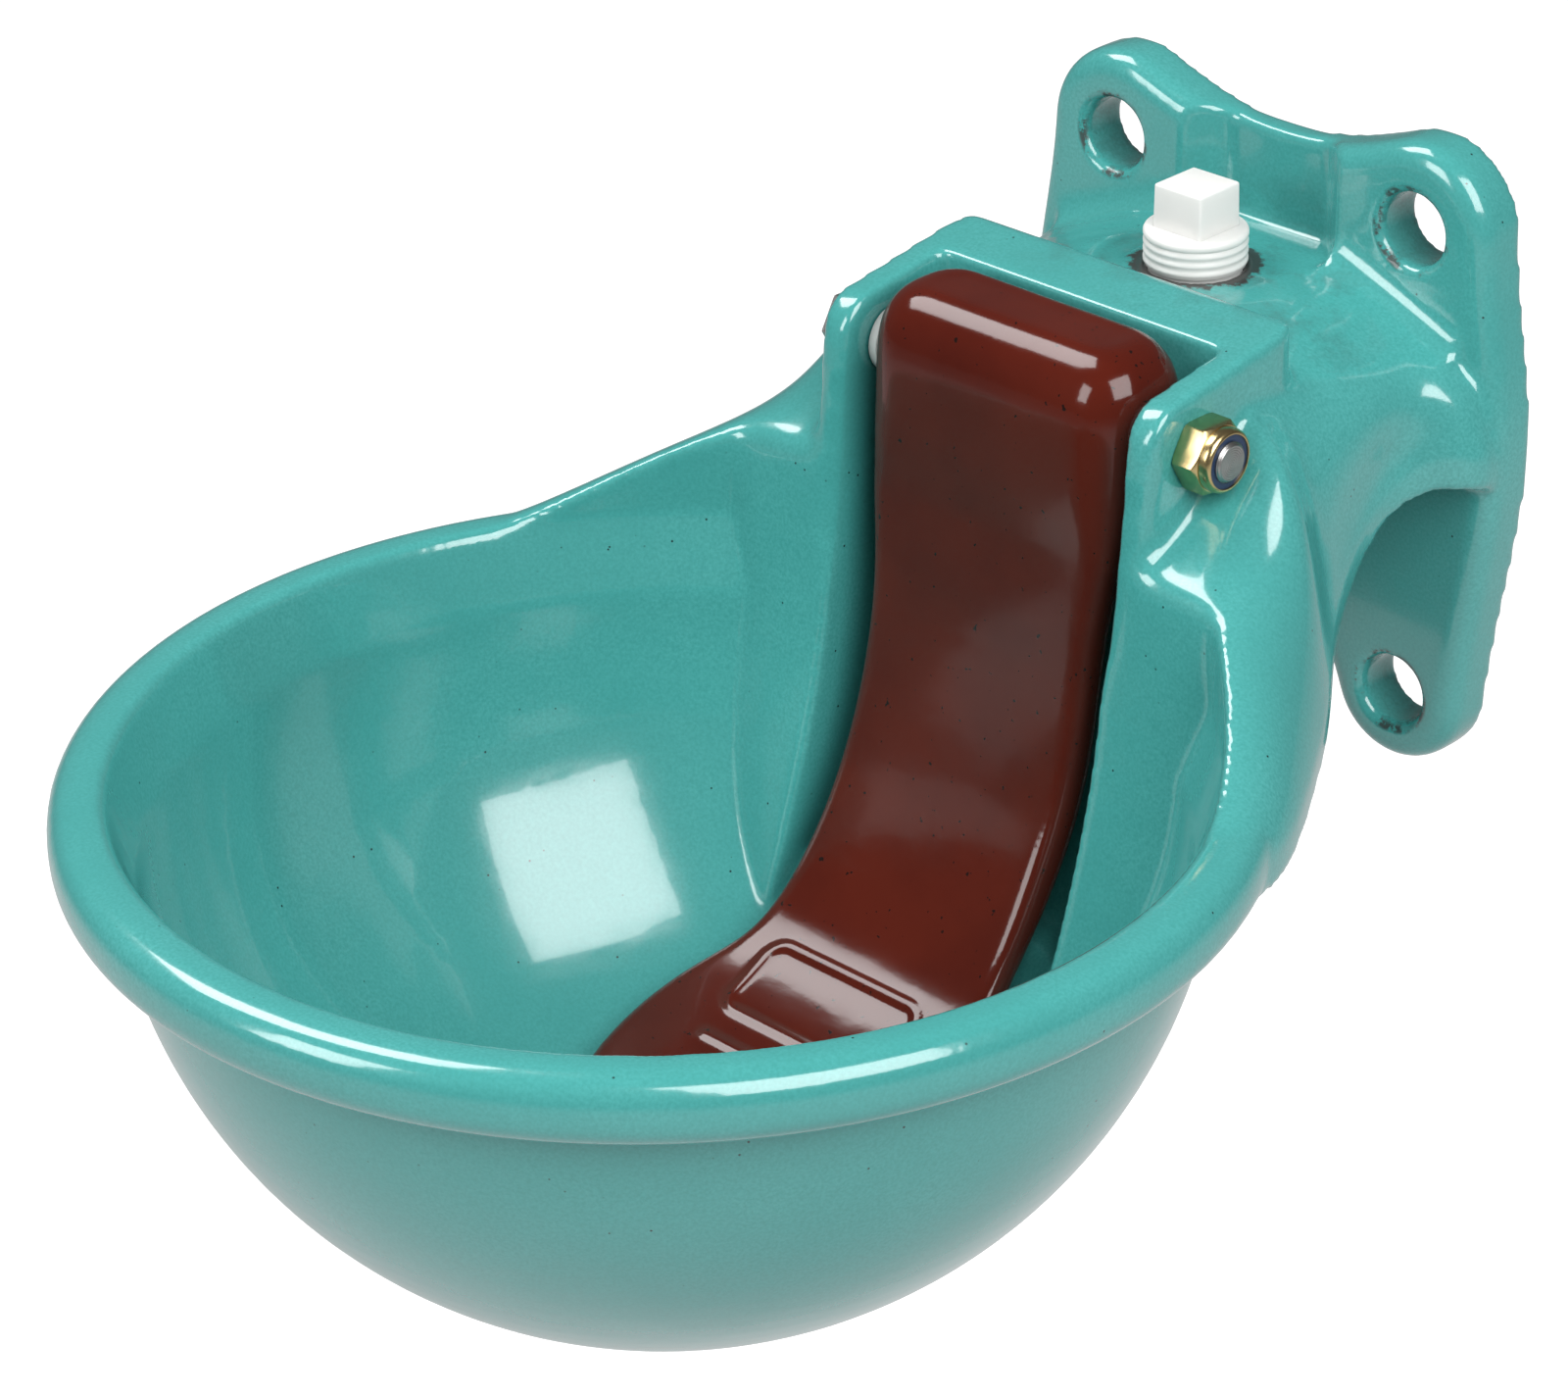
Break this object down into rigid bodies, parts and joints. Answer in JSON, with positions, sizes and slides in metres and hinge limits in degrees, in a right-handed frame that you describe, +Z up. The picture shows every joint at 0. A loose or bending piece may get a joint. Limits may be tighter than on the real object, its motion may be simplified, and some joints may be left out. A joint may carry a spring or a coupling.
{
  "type": "livestock drinking bowl",
  "caption": "Wall-mounted cast iron drinking bowl: a deep bowl on a bolted neck, with a push tongue that opens a spring valve behind it.",
  "frame": {"origin": "centre of the bolt pattern, on the wall face of the flange", "axes": "+Z up, +Y into the wall, +X towards the lock nut end of the pivot bolt; the bowl stands out towards -Y"},
  "size_m": [0.224, 0.29, 0.1885],
  "materials": {
    "enamel_teal": "glossy vitreous enamel",
    "enamel_brown": "glossy vitreous enamel",
    "steel": "zinc plated, dulled",
    "brass": "machined",
    "nylon_blue": "moulded",
    "nylon_white": "moulded",
    "rubber": "matt"
  },
  "bodies": {
    "casting": {"bowl_casting": "enamel_teal", "pivot_bolt": "steel", "pivot_nut": "brass", "nut_insert": "nylon_blue", "top_plug": "nylon_white", "valve_body": "brass", "valve_gasket": "rubber", "valve_spring": "steel"},
    "tongue": {"tongue": "enamel_brown", "bush_left": "nylon_white", "bush_right": "nylon_white"},
    "stem": {"valve_stem": "brass", "seal_disc": "rubber", "seal_washer": "brass", "stem_nut": "brass"}
  },
  "joints": [
    {"name": "tongue_swing", "type": "hinge", "parent": "casting", "child": "tongue", "pos_m": [0, -0.0798, 0.0285], "axis": [1, 0, 0], "range_deg": [0, 2], "stiffness_Nm_per_rad": 1.5},
    {"name": "stem_slide", "type": "slide", "parent": "casting", "child": "stem", "axis": [0, 1, 0], "range_m": [0, 0.0012], "deforming": ["valve_spring"]}
  ],
  "couplings": [
    {"joint": "stem_slide", "follows": "tongue_swing", "m_per_rad": 0.0325}
  ]
}
